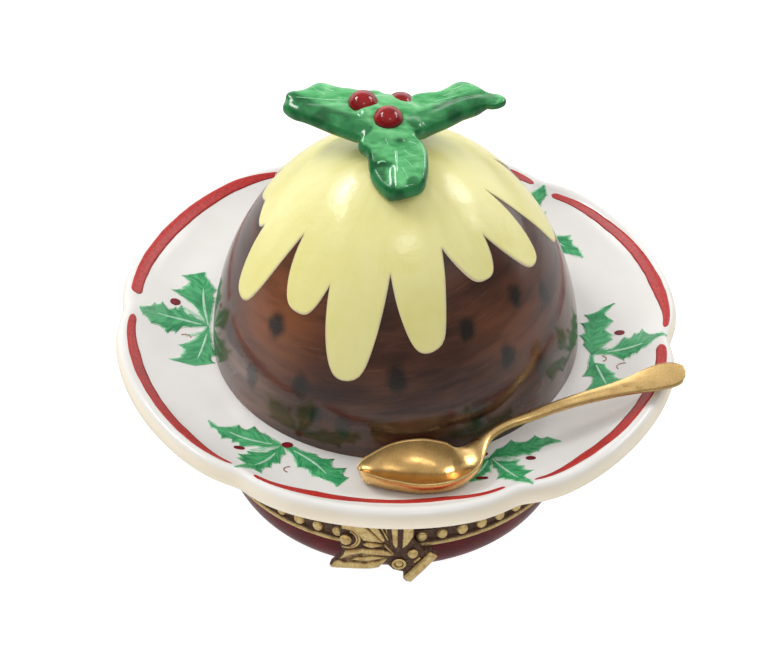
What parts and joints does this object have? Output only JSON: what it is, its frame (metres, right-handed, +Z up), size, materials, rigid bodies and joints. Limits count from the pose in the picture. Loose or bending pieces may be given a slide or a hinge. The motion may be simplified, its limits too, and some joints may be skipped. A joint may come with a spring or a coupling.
{
  "type": "christmas pudding trinket box",
  "caption": "Shut porcelain trinket box shaped as a christmas pudding with custard and holly on a lobed plate, with a gilt spoon and a brass clasp and hinge",
  "frame": {"origin": "the middle of the flat underside of the foot, on the surface that the box stands on", "axes": "+Z up out of the pudding's top, -Y towards the clasp, +Y towards the hinge, +X to the right seen from the clasp, where the spoon's handle ends"},
  "size_m": [0.0709, 0.0698, 0.0561],
  "materials": {
    "maroon_glaze": "glossy glazed porcelain",
    "white_glaze": "glossy glazed porcelain with painted holly and red bands",
    "pudding_glaze": "glossy glazed porcelain, brushed brown",
    "custard_glaze": "glossy glazed porcelain",
    "green_glaze": "glossy glazed porcelain, brushed green",
    "red_glaze": "glossy glazed porcelain",
    "aged_brass": "antiqued, darker in the hollows",
    "gilding": "bright gilding with a fine grain"
  },
  "bodies": {
    "root": {"foot": "maroon_glaze", "lower_bezel": "aged_brass", "upper_bezel": "aged_brass", "plate": "white_glaze", "hinge": "aged_brass", "clasp": "aged_brass", "pudding": "pudding_glaze", "custard": "custard_glaze", "holly_sprig": "green_glaze", "berry_front": "red_glaze", "berry_left": "red_glaze", "berry_right": "red_glaze", "spoon": "gilding"}
  },
  "joints": []
}
